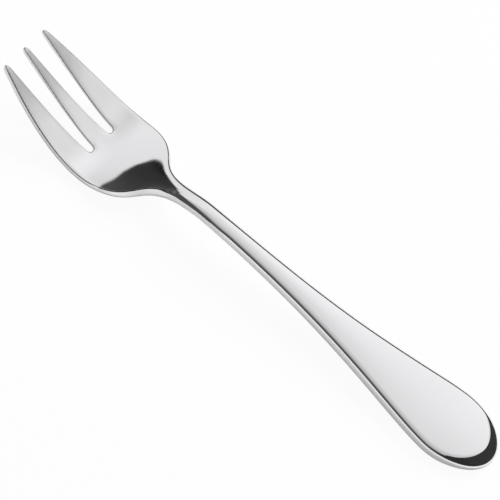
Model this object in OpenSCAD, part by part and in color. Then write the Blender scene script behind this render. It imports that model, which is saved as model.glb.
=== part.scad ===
// Oyster fork: one strip of polished stainless steel with three tapering tines, a shallow
// dished head, a narrow neck, a slim stem and a teardrop handle with a bevelled end.
// It lies face up on the plane z = 0, with the tips towards -X and the handle's end towards +X.
// The strip's top face follows a spine curve. u is the distance along X from the tips' top edge,
// y the distance across, and h the height above the spine, square to it.

/* [Overall] */
// Length from the tips to the end of the handle
overall_length = 146; // [135:0.5:160]

/* [Head] */
// Width between the top edges at the widest part of the head
head_width = 23.3; // [21:0.1:27]
// Distance from the tips to the widest part of the head
head_widest_at = 28.5; // [27:0.1:32]
// Curve of the head's sides: 1 is straight, 2 a parabola
flank_curve = 1.9; // [1.4:0.05:2.4]
// Length of each shoulder, from the widest part of the head to the neck
shoulder_length = 22; // [19:0.1:25]
// How far the head's roundness is carried into the shoulder
shoulder_fullness = 16.4; // [13:0.1:18]
// How far the neck's hollow is carried back into the shoulder
neck_fillet = 12.4; // [9:0.1:14]
// Depth of the dish across the head
dish_depth = 0.75; // [0.2:0.05:1.2]
// Radius of the outer top edges of the head and the tines
head_edge = 0.5; // [0.2:0.05:0.8]

/* [Tines] */
// Length of the slots between the tines
slot_length = 26.4; // [25:0.1:30]
// Width between the outer top edges at the tips
tip_span = 14.8; // [14:0.1:17]
// Width of the middle tine at its tip
middle_tip_width = 1.3; // [0.8:0.05:1.6]
// Width of the middle tine at the closed end of the slots
middle_root_width = 5.5; // [4:0.1:6]
// Width of each slot at the tips
slot_tip_width = 5.7; // [4.5:0.1:6.2]
// Width of each slot before its round closed end
slot_root_width = 1.8; // [1.5:0.1:3]
// Radius of the top edges along the slots
slot_lip = 0.3; // [0.15:0.05:0.5]
// How far the walls of the slots lean in under the tines
slot_undercut = 0.4; // [0.1:0.05:0.5]
// Length of the rounded nose of each tine
nose_length = 1.2; // [0.6:0.1:2]

/* [Neck and stem] */
// Width between the top edges at the neck
neck_width = 4.1; // [3.2:0.1:5]
// How far before the neck the dish starts to fade
dish_fade_before = 1.5; // [1:0.5:8]
// How far past the neck the dish is gone
dish_fade_after = 3; // [2:0.5:6]
// How far before the neck the head's edges start to turn into the handle's
edge_change_before = 5; // [1:0.5:10]
// How far past the neck the edges are the handle's
edge_change_after = 1.5; // [0.5:0.5:10]
// Length past the neck over which the crown rises
crown_rise = 12; // [6:0.5:20]
// Share of the length behind the neck's highest point that the slim stem takes
stem_share = 0.45; // [0.3:0.01:0.6]

/* [Handle] */
// Width between the top edges at the widest part of the handle
handle_width = 18.2; // [15:0.1:21]
// Distance from the widest part of the handle to its end
end_run = 13.6; // [11:0.1:16]
// Length over which the handle tapers into the stem
taper_length = 30.8; // [24:0.1:36]
// Curve of that taper: 1 is a cusp, 2 a bell
taper_curve = 1.46; // [1.2:0.02:1.8]
// Height of the crown across the top of the stem and the handle
crown_height = 0.25; // [0:0.05:0.5]
// Radius of the top edges of the stem and the handle
handle_edge = 1.4; // [0.8:0.05:1.8]
// Width of the bevel round the end of the handle, where it is widest
end_bevel = 2.2; // [0.5:0.1:3]
// Slope of that bevel, in degrees
end_tilt = 27; // [15:1:35]

/* [Thickness] */
// Thickness of the tines and the head
head_thickness = 1.6; // [1.2:0.05:2.2]
// Thickness of the neck
neck_thickness = 3.1; // [2.4:0.05:3.6]
// Thickness of the handle
handle_thickness = 3.4; // [2.6:0.05:4]
// Outward slope of the side walls towards the back, in degrees
side_draft = 12; // [4:1:14]
// Width of the small bevel round the back
back_bevel = 0.25; // [0.1:0.05:0.35]

/* [Side profile] */
// Height of the tips' top edge above the table
tip_height = 13.4; // [10:0.1:16]
// Slope of the tines at their tips, in degrees
tip_slope = 27.5; // [20:0.5:32]
// Length over which the tines stay nearly straight
tine_straight = 11.5; // [8:0.1:14]
// Distance from the tips to the lowest point of the head
bowl_at = 29; // [27:0.1:32]
// Reach of the bend at the lowest point, towards the tips
bowl_turn = 8.3; // [6:0.1:11]
// Reach of the bend at the lowest point, towards the neck
heel_turn = 7.5; // [5:0.1:11]
// Distance from the tips to the highest point of the neck
crest_at = 57.5; // [55:0.1:62]
// Height of the neck's highest point above the table
crest_height = 8.9; // [7:0.1:11]
// Reach of the bend at the neck, towards the head
crest_turn = 8.7; // [6:0.1:14]
// Reach of the bend at the neck, towards the handle
back_turn = 13.5; // [9:0.1:20]
// Reach of the bend where the handle comes down to the table
end_turn = 12.8; // [8:0.1:20]
// Length of the handle's end that lies flat on the table
end_flat = 9.8; // [7:0.1:14]

/* [Hidden] */
steel = "#c9cbce";

// The tips lean back, so the lowest corner of each tip stands out past its top edge
tip_thickness_share = 0.8;
tip_overhang = head_thickness * tip_thickness_share * sin(tip_slope);
spine_length = overall_length - tip_overhang;
neck_at = head_widest_at + shoulder_length;
handle_widest_at = spine_length - end_run;
stem_end_at = crest_at + stem_share * (spine_length - crest_at);
flat_at = spine_length - end_flat;
wall_tilt = 90 - side_draft;
// The ellipse of the handle's end stops just short of its pole
end_pole = 1.006;

// Where the changes of section start and stop, as shares of a stretch
dish_start_share = 0.2;
dish_full_share = 1.1;
nose_flat_share = 0.35;
// Widest rounding of an edge, as a share of the half width, and the least one along a slot
edge_share = 0.7;
slot_sharp = 0.01;
// Widest lean of a slot's wall, as a share of the tine's half width
undercut_share = 0.4;

// Points on each stretch of a section
edge_steps = 4;
top_steps = 8;
handle_top_steps = 12;
back_steps = 4;
// Sections along each piece
tine_steps = 22;
nose_steps = 5;
head_steps = 24;
neck_steps = 9;
stem_steps = 16;
handle_steps = 15;
end_steps = 13;

// Cubic curve with the control values a, b, c and d
function cubic(a, b, c, d, t) =
    a * (1 - t) ^ 3 + 3 * b * (1 - t) ^ 2 * t + 3 * c * (1 - t) * t ^ 2 + d * t ^ 3;
function cubic_rate(a, b, c, d, t) =
    3 * (b - a) * (1 - t) ^ 2 + 6 * (c - b) * (1 - t) * t + 3 * (d - c) * t ^ 2;

// Share t at which the x of a curve of four points reaches u, found by halving
function curve_share(p, u, low = 0, high = 1, turns = 26) =
    let (middle = (low + high) / 2)
    turns == 0 ? middle
    : cubic(p[0].x, p[1].x, p[2].x, p[3].x, middle) < u ? curve_share(p, u, middle, high, turns - 1)
    : curve_share(p, u, low, middle, turns - 1);
function curve_height(p, u) =
    let (t = curve_share(p, u)) cubic(p[0].y, p[1].y, p[2].y, p[3].y, t);
function curve_slope(p, u) =
    let (t = curve_share(p, u))
    cubic_rate(p[0].y, p[1].y, p[2].y, p[3].y, t) / cubic_rate(p[0].x, p[1].x, p[2].x, p[3].x, t);

function ease(low, high, x) =
    let (t = max(0, min(1, (x - low) / (high - low)))) t * t * (3 - 2 * t);

// Side profile of the top face: tines, heel, back, and the flat end
tine_curve = [
    [0, tip_height],
    [tine_straight, tip_height - tine_straight * tan(tip_slope)],
    [bowl_at - bowl_turn, head_thickness],
    [bowl_at, head_thickness]
];
heel_curve = [
    [bowl_at, head_thickness],
    [bowl_at + heel_turn, head_thickness],
    [crest_at - crest_turn, crest_height],
    [crest_at, crest_height]
];
back_curve = [
    [crest_at, crest_height],
    [crest_at + back_turn, crest_height],
    [flat_at - end_turn, handle_thickness],
    [flat_at, handle_thickness]
];
function spine_curve(u) = u < bowl_at ? tine_curve : u < crest_at ? heel_curve : back_curve;
function spine_height(u) = u >= flat_at ? handle_thickness : curve_height(spine_curve(u), u);
function spine_angle(u) = u >= flat_at ? 0 : atan(curve_slope(spine_curve(u), u));

// Half width between the top edges
shoulder_curve = [
    [head_widest_at, 1],
    [head_widest_at + shoulder_fullness, 1],
    [neck_at - neck_fillet, 0],
    [neck_at, 0]
];
function flank_half(u) =
    head_width / 2 - (head_width - tip_span) / 2 * (1 - u / head_widest_at) ^ flank_curve;
function stem_half(u) =
    let (away = max(0, handle_widest_at - u) / taper_length)
    neck_width / 2 + (handle_width - neck_width) / 2 * exp(-(away ^ taper_curve));
function shoulder_half(u) =
    let (stem = stem_half(u)) stem + (head_width / 2 - stem) * curve_height(shoulder_curve, u);
function end_half(u) =
    handle_width / 2 * sqrt(1 - ((u - handle_widest_at) / (end_run * end_pole)) ^ 2);
function half_width(u) =
    u < head_widest_at ? flank_half(u)
    : u < neck_at ? shoulder_half(u)
    : u < handle_widest_at ? stem_half(u)
    : end_half(u);

// Thickness, dish, crown and edge radius along the strip
function thickness(u) =
    head_thickness * (tip_thickness_share + (1 - tip_thickness_share) * ease(0, nose_length, u))
    + (neck_thickness - head_thickness) * ease(bowl_at, neck_at, u)
    + (handle_thickness - neck_thickness) * ease(neck_at, handle_widest_at - end_run, u);
function dish(u) =
    dish_depth * half_width(u) / (head_width / 2)
    * ease(dish_start_share * bowl_at, dish_full_share * bowl_at, u)
    * (1 - ease(neck_at - dish_fade_before, neck_at + dish_fade_after, u));
function crown(u) = crown_height * ease(neck_at, neck_at + crown_rise, u);
function edge_radius(u) =
    let (change = ease(neck_at - edge_change_before, neck_at + edge_change_after, u))
    min(head_edge + (handle_edge - head_edge) * change, edge_share * half_width(u));
function bow_width(u) = u > handle_widest_at ? handle_width / 2 : half_width(u);
function top_bow(u, y) = (dish(u) - crown(u)) * (y / bow_width(u)) ^ 2;
function back_height(u, y) = dish(u) * (y / bow_width(u)) ^ 2 - thickness(u);

// Drop of an edge at a distance in from it: an arc from the wall to the bevel, the bevel, and an
// arc from the bevel to the top. With no bevel the two arcs are one
function edge_drop(distance, radius, bevel) =
    let (
        rim = radius * (sin(wall_tilt) - sin(end_tilt)),
        crease = radius * sin(end_tilt),
        in_crease = max(0, min(crease, rim + bevel + crease - distance)),
        in_bevel = max(0, min(bevel, rim + bevel - distance)),
        lean = sin(end_tilt) + max(0, rim - distance) / radius
    )
    radius - sqrt(radius ^ 2 - in_crease ^ 2) + in_bevel * tan(end_tilt)
    + radius * (cos(end_tilt) - sqrt(1 - lean ^ 2));

// Places of the points across the top, from one rounded edge to the other
function edge_places(radius) =
    [for (i = [edge_steps : -1 : 1]) radius * (sin(wall_tilt) - sin(wall_tilt * i / edge_steps))];
function top_places(low, high, radius_low, radius_high) =
    let (start = low + radius_low * sin(wall_tilt), stop = high - radius_high * sin(wall_tilt)) [
        for (d = edge_places(radius_low)) low + d,
        for (i = [0 : top_steps]) start + (stop - start) * i / top_steps,
        each reverse([for (d = edge_places(radius_high)) high - d])
    ];
function reverse(list) = [for (i = [len(list) - 1 : -1 : 0]) list[i]];

// Closes a section: the top points, then the far wall, the back and the near wall
function closed_section(u, top, flare_low, flare_high) =
    let (
        low = top[0],
        high = top[len(top) - 1],
        room_low = low.y - back_height(u, low.x),
        room_high = high.y - back_height(u, high.x),
        foot_low = low.x - min(flare_low, room_low * tan(side_draft)),
        foot_high = high.x + min(flare_high, room_high * tan(side_draft)),
        room_back = foot_high - foot_low,
        bevel_low = min(back_bevel, room_low / 2, room_back / 4),
        bevel_high = min(back_bevel, room_high / 2, room_back / 4),
        start = foot_high - bevel_high,
        stop = foot_low + bevel_low
    ) [
        each top,
        [foot_high, back_height(u, high.x) + bevel_high],
        for (i = [0 : back_steps])
            let (y = start + (stop - start) * i / back_steps, inner = max(low.x, min(high.x, y)))
            [y, back_height(u, inner)],
        [foot_low, back_height(u, low.x) + bevel_low]
    ];

// Section between two edges, each with its own radius and its own limit on the wall's flare, which
// is less than nothing where a wall leans in
function plain_section(u, low, high, radius_low, radius_high, flare_low, flare_high) =
    closed_section(u, [
        for (y = top_places(low, high, radius_low, radius_high))
            [y, top_bow(u, y) - edge_drop(y - low, radius_low, 0) - edge_drop(high - y, radius_high, 0)]
    ], flare_low, flare_high);

function body_section(u) =
    let (w = half_width(u), radius = edge_radius(u)) plain_section(u, -w, w, radius, radius, w, w);

// Section of the handle. Past its widest part a bevel opens in the edge, from the sides to the
// pole of the end, and the walls come upright
function pole_share(u, y) =
    let (x = max(0, u - handle_widest_at)) x * x / (x * x + y * y);
function end_depth(u, y) =
    let (
        x = u - handle_widest_at,
        reach = norm([x / (end_run * end_pole), y / (handle_width / 2)])
    ) max(0, norm([x, y]) * (1 / reach - 1));
function handle_drop(u, y) =
    u > handle_widest_at ? edge_drop(end_depth(u, y), handle_edge, end_bevel * pole_share(u, y) ^ 2)
    : edge_drop(half_width(u) - abs(y), edge_radius(u), 0);
function handle_section(u) =
    let (w = half_width(u), flare = handle_thickness * tan(side_draft) * (1 - pole_share(u, w)))
    closed_section(u, [
        for (i = [-handle_top_steps : handle_top_steps])
            let (y = w * sin(90 * i / handle_top_steps)) [y, top_bow(u, y) - handle_drop(u, y)]
    ], flare, flare);

// Edges of the tines. A slot ends in a half circle, and each tine in a rounded nose
slot_round = slot_root_width / 2;
function slot_open(u) =
    let (into = max(0, u - (slot_length - slot_round)) / slot_round) sqrt(max(0, 1 - into * into));
function slot_half(u) =
    (slot_tip_width + (slot_root_width - slot_tip_width) * u / slot_length) / 2 * slot_open(u);
function slot_middle(u) =
    let (share = u / slot_length)
    (middle_tip_width + (middle_root_width - middle_tip_width) * share) / 2
    + (slot_tip_width + (slot_root_width - slot_tip_width) * share) / 2;
function nose(u) =
    let (short = max(0, 1 - u / nose_length))
    nose_flat_share + (1 - nose_flat_share) * sqrt(1 - short * short);
function slot_edge(u, half) = min(slot_lip, edge_share * half, slot_sharp + slot_half(u) / 2);
function slot_flare(u, half) = -min(slot_undercut, undercut_share * half) * slot_open(u);
function middle_tine_section(u) =
    let (
        half = (slot_middle(u) - slot_half(u)) * nose(u),
        radius = slot_edge(u, half),
        flare = slot_flare(u, half)
    ) plain_section(u, -half, half, radius, radius, flare, flare);
function outer_tine_section(u) =
    let (
        inner = slot_middle(u) + slot_half(u),
        outer = half_width(u),
        middle = (inner + outer) / 2,
        half = (outer - inner) / 2 * nose(u),
        radius = min(head_edge, edge_share * half)
    ) plain_section(u, middle - half, middle + half, slot_edge(u, half), radius,
        slot_flare(u, half), half);

// Puts a section on the spine
function placed(u, section) =
    let (height = spine_height(u), angle = spine_angle(u), x = u + tip_overhang - overall_length / 2)
    [for (p = section) [x - p.y * sin(angle), p.x, height + p.y * cos(angle)]];

// Solid through a row of sections with the same number of points, closed at both ends
module loft(sections) {
    count = len(sections[0]);
    last = len(sections) - 1;
    sides = [
        for (i = [0 : last - 1], j = [0 : count - 1])
            let (k = (j + 1) % count, a = i * count, b = a + count)
            each [[a + j, a + k, b + k], [a + j, b + k, b + j]]
    ];
    near_cap = [for (j = [count - 1 : -1 : 0]) j];
    far_cap = [for (j = [0 : count - 1]) last * count + j];
    polyhedron([for (s = sections) each s], [each sides, near_cap, far_cap]);
}

// Stations: close together at the noses of the tines, at the ends of the slots and at the pole
tine_stations = [
    for (i = [0 : nose_steps - 1]) nose_length * (i / nose_steps) ^ 2,
    for (i = [0 : tine_steps - nose_steps])
        nose_length + (slot_length - slot_round - nose_length) * i / (tine_steps - nose_steps),
    for (i = [1 : nose_steps]) slot_length - slot_round + slot_round * sin(90 * i / nose_steps)
];
function even(from, to, steps) = [for (i = [0 : steps]) from + (to - from) * i / steps];
end_stations = [for (i = [1 : end_steps]) handle_widest_at + end_run * sin(90 * i / end_steps)];

module outer_tine() {
    color(steel) loft([for (u = tine_stations) placed(u, outer_tine_section(u))]);
}

module body_piece(stations) {
    color(steel) loft([for (u = stations) placed(u, body_section(u))]);
}

module left_tine() {
    mirror([0, 1, 0]) outer_tine();
}

module middle_tine() {
    color(steel) loft([for (u = tine_stations) placed(u, middle_tine_section(u))]);
}

module right_tine() {
    outer_tine();
}

module head() {
    body_piece(even(slot_length, neck_at, head_steps));
}

module neck() {
    body_piece(even(neck_at, crest_at, neck_steps));
}

module stem() {
    body_piece(even(crest_at, stem_end_at, stem_steps));
}

module handle() {
    stations = [each even(stem_end_at, handle_widest_at, handle_steps), each end_stations];
    color(steel) loft([for (u = stations) placed(u, handle_section(u))]);
}

left_tine();
middle_tine();
right_tine();
head();
neck();
stem();
handle();
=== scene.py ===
import math

import bpy
import numpy as np
from mathutils import Matrix, Vector


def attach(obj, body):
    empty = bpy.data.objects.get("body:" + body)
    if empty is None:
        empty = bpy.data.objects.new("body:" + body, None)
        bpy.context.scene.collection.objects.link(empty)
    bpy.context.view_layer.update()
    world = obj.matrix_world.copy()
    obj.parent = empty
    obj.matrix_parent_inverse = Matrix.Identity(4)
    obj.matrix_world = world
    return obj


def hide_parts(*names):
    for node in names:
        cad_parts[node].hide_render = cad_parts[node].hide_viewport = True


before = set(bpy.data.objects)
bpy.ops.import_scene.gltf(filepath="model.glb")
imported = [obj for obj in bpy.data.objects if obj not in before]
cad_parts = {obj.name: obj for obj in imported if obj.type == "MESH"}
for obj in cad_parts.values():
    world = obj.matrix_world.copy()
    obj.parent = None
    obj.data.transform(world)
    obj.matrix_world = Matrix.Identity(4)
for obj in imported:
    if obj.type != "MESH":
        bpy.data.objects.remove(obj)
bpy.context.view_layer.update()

# Metres in a millimetre
MM = 0.001

# Sizes of the fork in millimetres, and its angles, by the names that the part's source gives them
overall_length = 146.0
head_width = 23.3
head_widest_at = 28.5
flank_curve = 1.9
shoulder_length = 22.0
shoulder_fullness = 16.4
neck_fillet = 12.4
dish_depth = 0.75
head_edge = 0.5
slot_length = 26.4
tip_span = 14.8
middle_tip_width = 1.3
middle_root_width = 5.5
slot_tip_width = 5.7
slot_root_width = 1.8
slot_undercut = 0.4
nose_length = 1.2
neck_width = 4.1
dish_fade_before = 1.5
dish_fade_after = 3.0
edge_change_before = 5.0
edge_change_after = 1.5
crown_rise = 12.0
stem_share = 0.45
handle_width = 18.2
end_run = 13.6
taper_length = 30.8
taper_curve = 1.46
crown_height = 0.25
handle_edge = 1.4
end_bevel = 2.2
end_tilt = math.radians(27.0)
head_thickness = 1.6
neck_thickness = 3.1
handle_thickness = 3.4
side_draft = math.radians(12.0)
tip_height = 13.4
tip_slope = math.radians(27.5)
tine_straight = 11.5
bowl_at = 29.0
bowl_turn = 8.3
heel_turn = 7.5
crest_at = 57.5
crest_height = 8.9
crest_turn = 8.7
back_turn = 13.5
end_turn = 12.8
end_flat = 9.8

# Shares of a stretch or of a width, also from the source
tip_thickness_share = 0.8
dish_start_share = 0.2
dish_full_share = 1.1
edge_share = 0.7
undercut_share = 0.4

# Values that follow from the sizes
tip_overhang = head_thickness * tip_thickness_share * math.sin(tip_slope)
spine_length = overall_length - tip_overhang
neck_at = head_widest_at + shoulder_length
handle_widest_at = spine_length - end_run
stem_end_at = crest_at + stem_share * (spine_length - crest_at)
flat_at = spine_length - end_flat
wall_tilt = math.pi / 2 - side_draft
wall_degrees = math.degrees(wall_tilt)
slot_round = slot_root_width / 2
slot_bend_at = slot_length - slot_round

# Finish of the polished fork, finer than the solids. The tines end in narrow noses that dip
nose_flat_share = 0.12
nose_drop = 0.4
nose_drop_run = 0.7
# Crisp lips along the slots, and thin outer edges on the tines that grow towards the head
lip_radius = 0.65
lip_tilt = math.radians(45.0)
lip_share = 1.4
tine_edge = 0.35
tine_edge_grows_at = 14.0
# The walls of the slots stand upright near the tips and lean in further down
undercut_from = 3.0
undercut_full_at = 18.0
# The face of the head and the tines falls gently towards its edges
roll_width = 1.8
roll_depth = 0.14
roll_fades_at = 30.0
roll_ends_at = 36.0
# The face rises slightly towards the left edge in the crook of the neck
crook_lift = 0.16
lift_from = 46.0
lift_at = 48.5
lift_fades_at = 49.6
lift_ends_at = 52.0
# Round corners along the back: their radius, and the most of the wall and of the back they take
back_round = 1.2
wall_share = 0.6
back_share = 0.45
back_most = 1.0


def round_edge(*stops):
    """Stops of an edge with no facet, whose round ends at the wall."""
    return tuple((u, radius, wall_degrees, 0.0) for u, radius in stops)


# The two edges along the body. Each stop has its distance from the tips, the radius of the round,
# the tilt in degrees at which the round ends, and the width of the facet from there to the wall
LEFT_EDGE = round_edge((31.0, 0.5)) + (
    (36.0, 0.02, 54.0, 0.2),
    (45.0, 0.02, 54.0, 0.2),
    (47.7, 0.02, 53.0, 0.7),
    (49.3, 0.02, 47.0, 0.95),
    (50.7, 0.2, 54.0, 0.8),
    (53.5, 1.2, 56.0, 0.3),
    (57.0, 1.4, 56.0, 0.2),
    (62.0, 1.4, 57.0, 0.04),
) + round_edge((67.0, 1.4))
RIGHT_EDGE = round_edge((34.0, 0.5), (44.0, 1.0), (52.0, 1.6), (118.0, 1.6), (131.0, 1.4))

# Points round a section. At the crease of the left edge's facet three lie close together
TOP_POINTS = 97
FACET_POINTS = 8
LEAST_FACET = 0.03
CREASE_GAP = 0.004
TINE_TOP_POINTS = 57
WALL_POINTS = 6
CORNER_POINTS = 5
BACK_POINTS = 25
# Millimetres between sections, and counts of them where they crowd together
LIP_STEP = 0.06
HEAD_STEP = 0.35
NECK_STEP = 0.4
HANDLE_STEP = 0.6
TINE_STEP = 0.45
NOSE_STEPS = 12
SLOT_END_STEPS = 14
END_STEPS = 60
# The last section of the handle stops just short of the pole of its end
POLE_STOP = math.radians(88.5)
# Places along the fork are rounded to these digits, and found again within this gap
PLACE_DIGITS = 6
PLACE_GAP = 0.00001
# Steps of the search along a curve, and a value that keeps divisors above zero
HALVINGS = 44
NEAR_ZERO = 1e-12


def ease(low, high, x):
    t = np.clip((x - low) / (high - low), 0, 1)
    return t * t * (3 - 2 * t)


def cubic(a, b, c, d, t):
    return a * (1 - t) ** 3 + 3 * b * (1 - t) ** 2 * t + 3 * c * (1 - t) * t ** 2 + d * t ** 3


def cubic_rate(a, b, c, d, t):
    return 3 * (b - a) * (1 - t) ** 2 + 6 * (c - b) * (1 - t) * t + 3 * (d - c) * t ** 2


def curve_share(xs, u):
    """Share t at which a cubic's x reaches u, found by halving."""
    low = np.zeros_like(u)
    high = np.ones_like(u)
    for _ in range(HALVINGS):
        middle = (low + high) / 2
        short = cubic(*xs, middle) < u
        low = np.where(short, middle, low)
        high = np.where(short, high, middle)
    return (low + high) / 2


# Side profile of the top face: the x and then the height of each curve's four points
tine_curve = (
    (0, tine_straight, bowl_at - bowl_turn, bowl_at),
    (tip_height, tip_height - tine_straight * math.tan(tip_slope), head_thickness, head_thickness),
)
heel_curve = (
    (bowl_at, bowl_at + heel_turn, crest_at - crest_turn, crest_at),
    (head_thickness, head_thickness, crest_height, crest_height),
)
back_curve = (
    (crest_at, crest_at + back_turn, flat_at - end_turn, flat_at),
    (crest_height, crest_height, handle_thickness, handle_thickness),
)


def spine(u):
    """Height and slope angle of the top face's middle line at a distance u from the tips."""
    height = np.full_like(u, handle_thickness)
    angle = np.zeros_like(u)
    for xs, zs in (tine_curve, heel_curve, back_curve):
        inside = (u >= xs[0]) & (u < xs[3])
        t = curve_share(xs, np.clip(u, xs[0], xs[3]))
        height = np.where(inside, cubic(*zs, t), height)
        angle = np.where(inside, np.arctan2(cubic_rate(*zs, t), cubic_rate(*xs, t)), angle)
    return height, angle


def placed(u, y, h):
    """Points of the frame, in metres: across by y, and up by h square to the spine."""
    height, angle = spine(u)
    x = u + tip_overhang - overall_length / 2
    return np.stack([x - h * np.sin(angle), y, height + h * np.cos(angle)], axis=-1) * MM


# Half widths between the top edges
shoulder_curve = (
    (head_widest_at, head_widest_at + shoulder_fullness, neck_at - neck_fillet, neck_at),
    (1.0, 1.0, 0.0, 0.0),
)


def flank_half(u):
    before = np.clip(1 - u / head_widest_at, 0, 1)
    return head_width / 2 - (head_width - tip_span) / 2 * before ** flank_curve


def stem_half(u):
    away = np.maximum(0, handle_widest_at - u) / taper_length
    return neck_width / 2 + (handle_width - neck_width) / 2 * np.exp(-(away ** taper_curve))


def shoulder_half(u):
    xs, shares = shoulder_curve
    stem = stem_half(u)
    t = curve_share(xs, np.clip(u, xs[0], xs[3]))
    return stem + (head_width / 2 - stem) * cubic(*shares, t)


def end_half(u):
    out = np.clip((u - handle_widest_at) / end_run, 0, 1)
    return handle_width / 2 * np.sqrt(1 - out * out)


def half_width(u):
    body = np.where(u < neck_at, shoulder_half(u), stem_half(u))
    body = np.where(u < head_widest_at, flank_half(u), body)
    return np.where(u > handle_widest_at, end_half(u), body)


# Thickness, dish, crown and edges along the strip
def thickness(u):
    tip = tip_thickness_share + (1 - tip_thickness_share) * ease(0, nose_length, u)
    return (head_thickness * tip
            + (neck_thickness - head_thickness) * ease(bowl_at, neck_at, u)
            + (handle_thickness - neck_thickness) * ease(neck_at, handle_widest_at - end_run, u))


def dish(u):
    return (dish_depth * half_width(u) / (head_width / 2)
            * ease(dish_start_share * bowl_at, dish_full_share * bowl_at, u)
            * (1 - ease(neck_at - dish_fade_before, neck_at + dish_fade_after, u)))


def crown(u):
    return crown_height * ease(neck_at, neck_at + crown_rise, u)


def edge_radius(u):
    """Radius of the solids' top edges, from which the height of the walls follows."""
    change = ease(neck_at - edge_change_before, neck_at + edge_change_after, u)
    radius = np.minimum(head_edge + (handle_edge - head_edge) * change, edge_share * half_width(u))
    return np.where(u > handle_widest_at, handle_edge, radius)


def bow(u, y):
    """Share of the dish or the crown at y: none on the middle line, all of it at the edge."""
    wide = np.where(u > handle_widest_at, handle_width / 2, half_width(u))
    return (y / wide) ** 2


def edge_drop(distance, radius, bevel=0.0, stop=wall_tilt, facet=0.0):
    """Drop of an edge, from the wall inwards: a facet, an arc, the bevel and an arc to the top."""
    distance = np.maximum(distance, 0)
    rim = radius * (np.sin(stop) - math.sin(end_tilt))
    crease = radius * math.sin(end_tilt)
    in_facet = np.clip(facet - distance, 0, facet)
    in_rim = np.clip(facet + rim - distance, 0, rim)
    in_bevel = np.clip(facet + rim + bevel - distance, 0, bevel)
    in_crease = np.clip(facet + rim + bevel + crease - distance, 0, crease)
    lean = math.sin(end_tilt) + in_rim / radius
    return (radius - np.sqrt(radius ** 2 - in_crease ** 2) + in_bevel * math.tan(end_tilt)
            + radius * (math.cos(end_tilt) - np.sqrt(1 - lean ** 2)) + in_facet * np.tan(stop))


def along_edge(stops, u):
    """Radius, last tilt and facet of an edge at u, eased from stop to stop."""
    values = [np.full_like(u, value) for value in stops[0][1:]]
    for before, after in zip(stops, stops[1:]):
        share = ease(before[0], after[0], u)
        values = [v + (b - a) * share for v, a, b in zip(values, before[1:], after[1:])]
    radius, tilt, facet = values
    return radius, np.radians(tilt), facet


def lip_drop(distance, radius):
    """Drop of a crisp edge: an arc from the wall to a crease with the top."""
    lip = radius * (math.sin(wall_tilt) - math.sin(lip_tilt))
    lean = math.sin(lip_tilt) + np.clip(lip - distance, 0, lip) / radius
    return radius * (math.cos(lip_tilt) - np.sqrt(1 - lean ** 2))


def roll(distance):
    """Gentle fall of the face of the head and the tines towards an edge."""
    return roll_depth * np.clip(1 - distance / roll_width, 0, 1) ** 3


def pole_share(u, y):
    """0 along the handle's sides, rising to 1 at the pole of its end."""
    x = np.maximum(u - handle_widest_at, 0)
    return x * x / (x * x + y * y + NEAR_ZERO)


def outline_depth(u, y):
    """Distance in from the outline of the head, the stem and the handle."""
    x = np.maximum(u - handle_widest_at, NEAR_ZERO)
    reach = np.hypot(x / end_run, y / (handle_width / 2))
    in_end = np.hypot(x, y) * (1 / reach - 1)
    return np.where(u > handle_widest_at, in_end, half_width(u) - np.abs(y))


# Slots between the tines
def slot_straight(u):
    return (slot_tip_width + (slot_root_width - slot_tip_width) * u / slot_length) / 2


def slot_open(u):
    """Share of the straight slot's width: 1, falling to 0 at the closed end."""
    into = np.clip((u - slot_bend_at) / slot_round, 0, 1)
    return np.sqrt(1 - into * into)


def slot_half(u):
    return slot_straight(u) * slot_open(u)


def slot_middle(u):
    tine = (middle_tip_width + (middle_root_width - middle_tip_width) * u / slot_length) / 2
    return tine + slot_straight(u)


def slot_depth(u, y):
    """Distance from the edge of the nearer slot, also round its closed end."""
    within = np.minimum(u, slot_length)
    across = np.abs(np.abs(y) - slot_middle(within))
    stretch = slot_straight(within) / slot_round
    ahead = np.maximum(u - slot_bend_at, 0)
    return stretch * (np.hypot(ahead, across / stretch) - slot_round)


def left_lift(u, y):
    """Slight rise of the face towards the left edge, in the crook of the neck."""
    place = ease(lift_from, lift_at, u) * (1 - ease(lift_fades_at, lift_ends_at, u))
    return crook_lift * place * np.where(y < 0, bow(u, y), 0)


def body_top(u, y):
    bevel = end_bevel * pole_share(u, y) ** 2
    depth = outline_depth(u, y)
    left_radius, left_stop, left_facet = along_edge(LEFT_EDGE, u)
    right_radius, right_stop, right_facet = along_edge(RIGHT_EDGE, u)
    edge = np.where(y < 0, edge_drop(depth, left_radius, bevel, left_stop, left_facet),
                    edge_drop(depth, right_radius, bevel, right_stop, right_facet))
    fall = roll(depth) * (1 - ease(roll_fades_at, roll_ends_at, u))
    slot = slot_depth(u, y)
    lip = lip_drop(slot, lip_radius) + roll(slot)
    return (dish(u) - crown(u)) * bow(u, y) + left_lift(u, y) - edge - fall - lip


def back_height(u, y):
    return dish(u) * bow(u, y) - thickness(u)


# Rings of points: across the top, down the right wall, across the back and up the left wall
def spaced(count):
    """Shares from 0 to 1 that crowd together at both ends."""
    return (1 - np.cos(np.pi * np.linspace(0, 1, count))) / 2


def corner(start, middle, stop):
    """Points of a round corner, without its two ends."""
    t = (np.arange(CORNER_POINTS) + 1) / (CORNER_POINTS + 1)
    return [start * (1 - s) ** 2 + 2 * middle * s * (1 - s) + stop * s * s for s in t]


def foot_of(u, rim, back, flare, outward):
    """Where the wall under a rim meets the back; outward is -1 on the left and 1 on the right."""
    floor = back(u, rim[:, :1])
    reach = np.minimum(flare, (rim[:, 1:] - floor) * math.tan(side_draft))
    return np.concatenate([rim[:, :1] + outward * reach, floor], axis=1)


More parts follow.
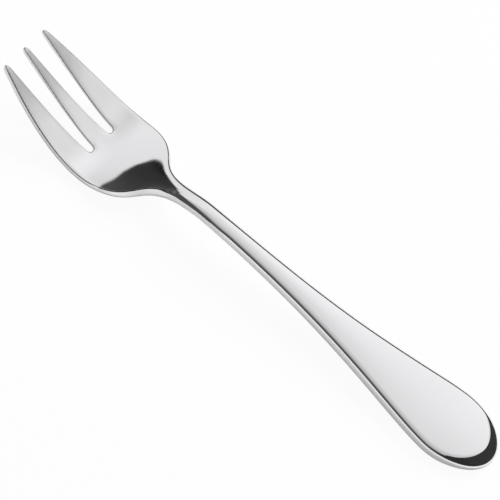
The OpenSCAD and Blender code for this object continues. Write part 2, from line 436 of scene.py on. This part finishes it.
def wall_and_corner(rim, foot, inward, room):
    """Points down a wall and round its corner; room limits what the corner takes of the back."""
    length = np.linalg.norm(foot - rim, axis=1, keepdims=True)
    radius = np.minimum(back_round, length * wall_share)
    above = foot + (rim - foot) / length * radius
    along = inward * room * np.minimum(radius, room)
    beside = foot + np.concatenate([along, np.zeros_like(along)], axis=1)
    steps = [rim + (above - rim) * (k / WALL_POINTS) ** 2 for k in range(1, WALL_POINTS + 1)]
    return steps + corner(above, foot, beside) + [beside]


def closed_ring(u, y, top, back, flare_left, flare_right):
    """Section points (y, h) for a column of stations u, with the places y across the top."""
    face = np.stack([y, top(u, y)], axis=-1)
    rim_left = face[:, 0]
    rim_right = face[:, -1]
    foot_left = foot_of(u, rim_left, back, flare_left, -1)
    foot_right = foot_of(u, rim_right, back, flare_right, 1)
    room = np.minimum((foot_right - foot_left)[:, :1] * back_share, back_most)
    right = wall_and_corner(rim_right, foot_right, -1, room)
    left = wall_and_corner(rim_left, foot_left, 1, room)
    start = right[-1][:, :1]
    stop = left[-1][:, :1]
    across = start + (stop - start) * spaced(BACK_POINTS)[None, :]
    inner = np.clip(across, rim_left[:, :1], rim_right[:, :1])
    under = np.stack([across, back(u, inner)], axis=-1)[:, 1:-1]
    right = np.stack(right, axis=1)
    left = np.stack(left[::-1], axis=1)
    return np.concatenate([face, right, under, left], axis=1)


def across_body(u, w):
    """Places across the top of the body, close together where the left edge's facet ends."""
    facet = np.maximum(along_edge(LEFT_EDGE, u)[2], LEAST_FACET)
    outer = np.linspace(0, 1, FACET_POINTS)[None, :] * (facet - CREASE_GAP)
    inner = facet + CREASE_GAP + (2 * w - facet - CREASE_GAP) * spaced(TOP_POINTS)[None, :]
    return np.concatenate([outer, facet, inner], axis=1) - w


def body_rings(u):
    u = u[:, None]
    w = half_width(u)
    upright = 1 - pole_share(u, w)
    wall_height = thickness(u) - edge_radius(u) * (1 - math.cos(wall_tilt))
    flare = wall_height * math.tan(side_draft) * upright
    ring = closed_ring(u, across_body(u, w), body_top, back_height, flare, flare)
    return placed(u, ring[..., 0], ring[..., 1])


def tine_rings(u, outer):
    """Rings of the right tine where outer is true, or else of the middle one."""
    u = u[:, None]
    short = np.clip(1 - u / nose_length, 0, 1)
    nose = nose_flat_share + (1 - nose_flat_share) * np.sqrt(1 - short * short)
    if outer:
        low = slot_middle(u) + slot_half(u)
        high = half_width(u)
    else:
        high = slot_middle(u) - slot_half(u)
        low = -high
    middle = (low + high) / 2
    half = (high - low) / 2 * nose
    lip = np.minimum(lip_radius, lip_share * half)
    edge = tine_edge + (head_edge - tine_edge) * ease(tine_edge_grows_at, slot_length, u)
    edge = np.minimum(edge, edge_share * half)
    tip = np.clip(1 - u / nose_drop_run, 0, 1)
    dip = nose_drop * (1 - np.sqrt(1 - tip * tip))

    def top(u, y):
        from_low = y - middle + half
        from_high = half - (y - middle)
        from_slot = from_low if outer else np.minimum(from_low, from_high)
        from_slot = np.where(u > slot_bend_at, slot_depth(u, y), from_slot)
        drop = lip_drop(from_slot, lip) + roll(from_high)
        if outer:
            drop += roll(from_slot) + edge_drop(from_high, edge)
        else:
            drop += roll(from_low)
        return dish(u) * bow(u, y) - drop - dip

    def back(u, y):
        return back_height(u, y) + dip

    lean = slot_open(u) * ease(undercut_from, undercut_full_at, u)
    slot_flare = -np.minimum(slot_undercut, undercut_share * half) * lean
    outer_flare = half if outer else slot_flare
    across = middle - half + 2 * half * spaced(TINE_TOP_POINTS)[None, :]
    ring = closed_ring(u, across, top, back, slot_flare, outer_flare)
    return placed(u, ring[..., 0], ring[..., 1])


# Stations along the fork
def even(start, stop, step):
    count = max(2, round((stop - start) / step))
    return np.linspace(start, stop, count + 1)


def joined(*runs):
    return np.unique(np.round(np.concatenate(runs), PLACE_DIGITS))


tine_stations = joined(
    nose_length * (np.arange(NOSE_STEPS + 1) / NOSE_STEPS) ** 2,
    even(nose_length, slot_bend_at, TINE_STEP),
    slot_bend_at + slot_round * np.sin(np.linspace(0, np.pi / 2, SLOT_END_STEPS + 1)),
)
head_stations = joined(
    even(slot_length, slot_length + lip_radius, LIP_STEP),
    even(slot_length + lip_radius, neck_at, HEAD_STEP),
)
neck_stations = even(neck_at, crest_at, NECK_STEP)
stem_stations = even(crest_at, stem_end_at, HANDLE_STEP)
handle_stations = joined(
    even(stem_end_at, handle_widest_at, HANDLE_STEP),
    handle_widest_at + end_run * np.sin(np.linspace(0, POLE_STOP, END_STEPS + 1)),
)


def weighted_rate(before, after):
    """Tangent at a point, from the steps to its two neighbours, which may differ in length."""
    a = np.maximum(np.linalg.norm(before, axis=-1, keepdims=True), NEAR_ZERO)
    b = np.maximum(np.linalg.norm(after, axis=-1, keepdims=True), NEAR_ZERO)
    return (before / a * b + after / b * a) / (a + b)


def ring_normals(points):
    """Smooth outward normals of a grid of rings."""
    along = np.empty_like(points)
    steps = np.diff(points, axis=0)
    along[1:-1] = weighted_rate(steps[:-1], steps[1:])
    along[0] = steps[0]
    along[-1] = steps[-1]
    around = weighted_rate(points - np.roll(points, 1, axis=1), np.roll(points, -1, axis=1) - points)
    normals = np.cross(along, around)
    length = np.linalg.norm(normals, axis=-1, keepdims=True)
    return normals / np.maximum(length, NEAR_ZERO)


def polished_piece(node, points, normals, finish):
    """A closed piece through a grid of rings, shaded with the normals of the whole surface."""
    name = node + "_polished"
    rows, count = points.shape[:2]
    index = np.arange(rows * count).reshape(rows, count)
    following = np.roll(index, -1, axis=1)
    sides = np.stack([index[1:], following[1:], following[:-1], index[:-1]], axis=-1).reshape(-1, 4)
    faces = sides.tolist()
    faces.append(index[0].tolist())
    faces.append(index[-1][::-1].tolist())
    ahead = points[1].mean(axis=0) - points[0].mean(axis=0)
    ahead = ahead / np.linalg.norm(ahead)
    corner_normals = np.concatenate([
        normals.reshape(-1, 3)[sides.ravel()],
        np.tile(-ahead, (count, 1)),
        np.tile(ahead, (count, 1)),
    ])
    mesh = bpy.data.meshes.new(name)
    mesh.from_pydata(points.reshape(-1, 3).tolist(), [], faces)
    mesh.materials.append(finish)
    mesh.polygons.foreach_set("use_smooth", np.ones(len(faces), dtype=bool))
    mesh.update()
    mesh.normals_split_custom_set(corner_normals.tolist())
    piece = bpy.data.objects.new(name, mesh)
    bpy.context.scene.collection.objects.link(piece)
    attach(piece, "root")
    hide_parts(node)


def body_pieces(finish):
    """Head, neck, stem and handle, cut from one grid so that the shading runs on across the cuts."""
    stations = joined(head_stations, neck_stations, stem_stations, handle_stations)
    points = body_rings(stations)
    normals = ring_normals(points)
    for node, part in (("head", head_stations), ("neck", neck_stations),
                       ("stem", stem_stations), ("handle", handle_stations)):
        first = np.searchsorted(stations, part[0] - PLACE_GAP)
        last = np.searchsorted(stations, part[-1] - PLACE_GAP)
        rows = slice(first, last + 1)
        polished_piece(node, points[rows], normals[rows], finish)


def tine_pieces(finish):
    """The three tines. The left one is the right one in a mirror, with its rings run backwards."""
    middle = tine_rings(tine_stations, False)
    right = tine_rings(tine_stations, True)
    left = (right * (1, -1, 1))[:, ::-1]
    for node, points in (("middle_tine", middle), ("right_tine", right), ("left_tine", left)):
        polished_piece(node, points, ring_normals(points), finish)


# Polished steel: satin at the tips, turning to a mirror at the head. Its colour is a little darker at
# the tips, partly for the satin finish and partly as painted shade that dims their reflections. Faint
# clouds and lines along the length are left from polishing. Places are in metres along the fork
STEEL_COLOUR = (0.94, 0.94, 0.955, 1.0)
# Colour of the tips: partly the satin finish, partly painted shade that dims their reflections
SATIN_AND_SHADE_COLOUR = (0.85, 0.85, 0.862, 1.0)
COLOUR_TURNS_X = -0.055
COLOUR_TURNED_X = -0.040
LEAST_TURN = 0.85
SATIN_ROUGHNESS = 0.36
MIRROR_ROUGHNESS = 0.04
SATIN_X = -0.073
MIRROR_X = -0.040
CLOUD_SCALE = 160.0
LEAST_SPREAD = 0.8
MOST_SPREAD = 1.25
LINE_SCALE = (300.0, 5000.0, 5000.0)
LINE_STRENGTH = 0.04
LINE_DEPTH = 0.00002
# Places of the colour sockets among those of a mix node
COLOUR_START = 6
COLOUR_STOP = 7
COLOUR_RESULT = 2


def linked(tree, kind, inputs=None, **settings):
    """A new node with its settings, and its inputs either linked or set."""
    node = tree.nodes.new(kind)
    for key, value in settings.items():
        setattr(node, key, value)
    for key, value in (inputs or {}).items():
        if isinstance(value, bpy.types.NodeSocket):
            tree.links.new(value, node.inputs[key])
        else:
            node.inputs[key].default_value = value
    return node


def math_node(tree, operation, a, b=0.0, c=0.0):
    return linked(tree, "ShaderNodeMath", {0: a, 1: b, 2: c}, operation=operation).outputs[0]


def mapped(tree, value, low, high, start=0.0, stop=1.0):
    """A value that goes from start to stop while another goes from low to high."""
    return linked(tree, "ShaderNodeMapRange", {
        "Value": value, "From Min": low, "From Max": high, "To Min": start, "To Max": stop,
    }).outputs["Result"]


def mixed_colour(tree, share, start, stop):
    """A colour between start and stop; each is a socket or a fixed colour."""
    node = linked(tree, "ShaderNodeMix", {"Factor": share}, data_type="RGBA")
    for key, colour in ((COLOUR_START, start), (COLOUR_STOP, stop)):
        if isinstance(colour, bpy.types.NodeSocket):
            tree.links.new(colour, node.inputs[key])
        else:
            node.inputs[key].default_value = colour
    return node.outputs[COLOUR_RESULT]


def polished_steel():
    finish = bpy.data.materials.new("polished_steel")
    finish.use_nodes = True
    tree = finish.node_tree
    shader = tree.nodes["Principled BSDF"]
    shader.inputs["Metallic"].default_value = 1.0
    place = tree.nodes.new("ShaderNodeTexCoord").outputs["Object"]
    x = linked(tree, "ShaderNodeSeparateXYZ", {"Vector": place}).outputs["X"]
    clouds = linked(tree, "ShaderNodeTexNoise", {"Vector": place, "Scale": CLOUD_SCALE}).outputs["Fac"]
    # Darker towards the tips: partly the satin finish, partly painted shade on the tines' reflections
    turned = mapped(tree, x, COLOUR_TURNS_X, COLOUR_TURNED_X)
    turned = math_node(tree, "MULTIPLY", turned, mapped(tree, clouds, 0.0, 1.0, LEAST_TURN, 1.0))
    tree.links.new(mixed_colour(tree, turned, SATIN_AND_SHADE_COLOUR, STEEL_COLOUR), shader.inputs["Base Color"])
    satin = mapped(tree, x, SATIN_X, MIRROR_X, SATIN_ROUGHNESS, MIRROR_ROUGHNESS)
    spread = mapped(tree, clouds, 0.0, 1.0, LEAST_SPREAD, MOST_SPREAD)
    tree.links.new(math_node(tree, "MULTIPLY", satin, spread), shader.inputs["Roughness"])
    drawn = linked(tree, "ShaderNodeMapping", {"Vector": place, "Scale": LINE_SCALE}).outputs["Vector"]
    lines = linked(tree, "ShaderNodeTexNoise", {"Vector": drawn, "Scale": 1.0}).outputs["Fac"]
    bump = linked(tree, "ShaderNodeBump", {
        "Height": lines, "Strength": LINE_STRENGTH, "Distance": LINE_DEPTH,
    }).outputs["Normal"]
    tree.links.new(bump, shader.inputs["Normal"])
    return finish


# White table, just under the fork. It glows nearly white for the camera, and a little in the steel
TABLE_SIZE = 8.0
TABLE_DROP = 0.00005
TABLE_COLOUR = (0.9, 0.9, 0.9, 1.0)
WHITE = (1.0, 1.0, 1.0, 1.0)
SEEN_GLOW = 0.94
MIRRORED_GLOW = 0.2


def table_finish():
    finish = bpy.data.materials.new("white_table")
    finish.use_nodes = True
    tree = finish.node_tree
    tree.nodes.clear()
    rays = tree.nodes.new("ShaderNodeLightPath").outputs
    seen = math_node(tree, "MAXIMUM", rays["Is Camera Ray"], rays["Is Transmission Ray"])
    seen = math_node(tree, "MULTIPLY", seen, SEEN_GLOW)
    mirrored = math_node(tree, "MULTIPLY", rays["Is Glossy Ray"], MIRRORED_GLOW)
    share = math_node(tree, "MAXIMUM", seen, mirrored)
    paint = linked(tree, "ShaderNodeBsdfDiffuse", {"Color": TABLE_COLOUR}).outputs[0]
    glow = linked(tree, "ShaderNodeEmission", {"Color": WHITE}).outputs[0]
    mix = linked(tree, "ShaderNodeMixShader", {0: share, 1: paint, 2: glow}).outputs[0]
    linked(tree, "ShaderNodeOutputMaterial", {"Surface": mix})
    return finish


def white_table():
    reach = TABLE_SIZE / 2
    square = ((-reach, -reach), (reach, -reach), (reach, reach), (-reach, reach))
    mesh = bpy.data.meshes.new("table")
    mesh.from_pydata([(x, y, -TABLE_DROP) for x, y in square], [], [(0, 1, 2, 3)])
    mesh.materials.append(table_finish())
    table = bpy.data.objects.new("table", mesh)
    bpy.context.scene.collection.objects.link(table)


# Studio that the steel mirrors: a soft sky above a dark screen that stands all round the table.
# Each stop of the sky has its place over the top, from the back at 0 to the front at 1, and its light
SKY = (
    (0.0, 0.93), (0.3, 0.93), (0.333, 0.86), (0.372, 0.735), (0.44, 0.635), (0.6, 0.57), (1.0, 0.5),
)
# To the left and the right of the back the sky changes to a more even one, by the x of a direction,
# and only where its y is large enough. The stops of the even sky are like those of the other
SIDE_SHARE = (
    (-1.0, 1.0), (-0.45, 1.0), (-0.06, 0.0), (0.0, 0.0), (0.25, 1.0), (0.4, 0.6), (0.55, 0.0),
)
SIDE_FROM_Y = 0.1
SIDE_AT_Y = 0.3
SIDE_SKY = (
    (0.2, 0.66), (0.24, 0.72), (0.28, 0.785), (0.33, 0.81), (0.36, 0.83), (0.4, 0.85), (0.5, 0.75),
)
# Round the table, in degrees from the back (0) to the right (90): how many degrees up the screen's
# top edge is, how many degrees that edge fades over to each side, and the screen's own light
SCREEN_TOP = (
    (-180, 42), (-150, 45), (-130, 50), (-110, 54.5), (-74, 55), (-72, 0), (-67.5, 0), (-66.4, 24),
    (-65.6, 31), (-64, 34), (-60, 36.2), (-53, 36.2), (-49, 34.9), (-46, 32), (-43, 31), (-40, 30.5),
    (-37, 30.5), (-28, 40), (-8, 40), (8, 12), (14, 14), (20, 19), (40, 33.5), (70, 47.5), (110, 57),
    (140, 61), (146, 60), (152, 57.5), (158, 50), (165, 46), (180, 42),
)
SCREEN_SOFT = (
    (-180, 20), (-168, 18), (-150, 9), (-130, 4), (-110, 2.5), (-74, 2), (-66, 0.3), (-55, 0.3),
    (-47, 1.2), (-36, 1.2), (-28, 0.3), (130, 0.3), (146, 1), (152, 3), (158, 8), (165, 13), (180, 20),
)
SCREEN_LIGHT = (
    (-180, 0.05), (-172, 0.07), (-140, 0.07), (-100, 0.03), (-66, 0.004), (-60, 0.01), (-57, 0.028),
    (-52, 0.034), (-49, 0.044), (-45, 0.07), (-38, 0.07), (0, 0.04), (30, 0.036), (90, 0.034),
    (120, 0.024), (150, 0.03), (180, 0.05),
)
FULL_TURN = 360
STRAIGHT_UP = 90
# A ramp runs from 0 to 1, so what goes from -1 to 1, or half a turn each way, is brought into it
MIDDLE = 0.5


def ramp(tree, value, stops):
    """A straight-line ramp through stops of position and level, both from 0 to 1."""
    node = linked(tree, "ShaderNodeValToRGB", {"Fac": value})
    points = node.color_ramp.elements
    while len(points) < len(stops):
        points.new(MIDDLE)
    for point, (place, level) in zip(points, stops):
        point.position = place
        point.color = (level, level, level, 1)
    return node.outputs["Color"]


def sky_light(tree, axes):
    over = math_node(tree, "DIVIDE", math_node(tree, "ARCTAN2", axes["Z"], axes["Y"]), math.pi)
    across = math_node(tree, "MULTIPLY_ADD", axes["X"], MIDDLE, MIDDLE)
    aside = ramp(tree, across, [(x * MIDDLE + MIDDLE, share) for x, share in SIDE_SHARE])
    behind = mapped(tree, axes["Y"], SIDE_FROM_Y, SIDE_AT_Y)
    share = math_node(tree, "MULTIPLY", aside, behind)
    return mixed_colour(tree, share, ramp(tree, over, SKY), ramp(tree, over, SIDE_SKY))


def studio():
    world = bpy.data.worlds.new("studio")
    bpy.context.scene.world = world
    world.use_nodes = True
    tree = world.node_tree
    direction = tree.nodes.new("ShaderNodeTexCoord").outputs["Generated"]
    axes = linked(tree, "ShaderNodeSeparateXYZ", {"Vector": direction}).outputs
    turn = math_node(tree, "DIVIDE", math_node(tree, "ARCTAN2", axes["X"], axes["Y"]), 2 * math.pi)
    turn = math_node(tree, "ADD", turn, MIDDLE)
    rise = math_node(tree, "DIVIDE", math_node(tree, "ARCSINE", axes["Z"]), math.pi / 2)

    def around(stops, unit):
        return ramp(tree, turn, [(at / FULL_TURN + MIDDLE, value / unit) for at, value in stops])

    soft = around(SCREEN_SOFT, STRAIGHT_UP)
    below = math_node(tree, "SUBTRACT", around(SCREEN_TOP, STRAIGHT_UP), rise)
    screen = math_node(tree, "DIVIDE", math_node(tree, "ADD", below, soft),
                       math_node(tree, "MULTIPLY", soft, 2.0))
    screen = linked(tree, "ShaderNodeClamp", {"Value": screen}).outputs["Result"]
    light = mixed_colour(tree, screen, sky_light(tree, axes), around(SCREEN_LIGHT, 1))
    seen = tree.nodes.new("ShaderNodeLightPath").outputs["Is Camera Ray"]
    tree.links.new(mixed_colour(tree, seen, light, WHITE), tree.nodes["Background"].inputs["Color"])


# Soft lamp above and behind the fork, which the steel doesn't mirror
LAMP_PLACE = Vector((0.0, 1.15, 0.8))
LAMP_SIZE = 0.7
LAMP_POWER = 20.0


def soft_lamp():
    data = bpy.data.lights.new("soft_lamp", "AREA")
    data.size = LAMP_SIZE
    data.energy = LAMP_POWER
    lamp = bpy.data.objects.new("soft_lamp", data)
    lamp.location = LAMP_PLACE
    lamp.rotation_euler = LAMP_PLACE.to_track_quat("Z", "Y").to_euler()
    lamp.visible_glossy = False
    bpy.context.scene.collection.objects.link(lamp)


# Camera, fitted to the outline in the photograph. It aims at a point near the middle of the fork,
# moved a little in the plane of the picture
PICTURE_PIXELS = 500
SENSOR = 36.0
VIEW_AZIMUTH = math.radians(17.43)
VIEW_ELEVATION = math.radians(59.455)
VIEW_ROLL = math.radians(24.0)
VIEW_DISTANCE = 0.735
PIXELS_PER_MM = 4.25
AIM_X = 0.000091
AIM_LEFT = 0.00004
AIM_UP = 0.00377
NEAREST = 0.01
FARTHEST = 50.0


def photo_camera():
    data = bpy.data.cameras.new("photo_camera")
    data.sensor_width = SENSOR
    data.lens = SENSOR * PIXELS_PER_MM * VIEW_DISTANCE / MM / PICTURE_PIXELS
    data.clip_start = NEAREST
    data.clip_end = FARTHEST
    level = math.cos(VIEW_ELEVATION)
    back = Vector((
        math.sin(VIEW_AZIMUTH) * level,
        -math.cos(VIEW_AZIMUTH) * level,
        math.sin(VIEW_ELEVATION),
    ))
    roll_turn = Matrix.Rotation(VIEW_ROLL, 3, back)
    right = Vector((math.cos(VIEW_AZIMUTH), math.sin(VIEW_AZIMUTH), 0))
    up = roll_turn @ back.cross(right)
    right = roll_turn @ right
    pose = Matrix((right, up, back)).transposed().to_4x4()
    pose.translation = Vector((AIM_X, 0, 0)) - right * AIM_LEFT + up * AIM_UP + back * VIEW_DISTANCE
    camera = bpy.data.objects.new("photo_camera", data)
    camera.matrix_world = pose
    bpy.context.scene.collection.objects.link(camera)
    bpy.context.scene.camera = camera


# The scene
steel = polished_steel()
body_pieces(steel)
tine_pieces(steel)
white_table()
studio()
soft_lamp()
photo_camera()
bpy.context.scene.view_settings.view_transform = "Standard"
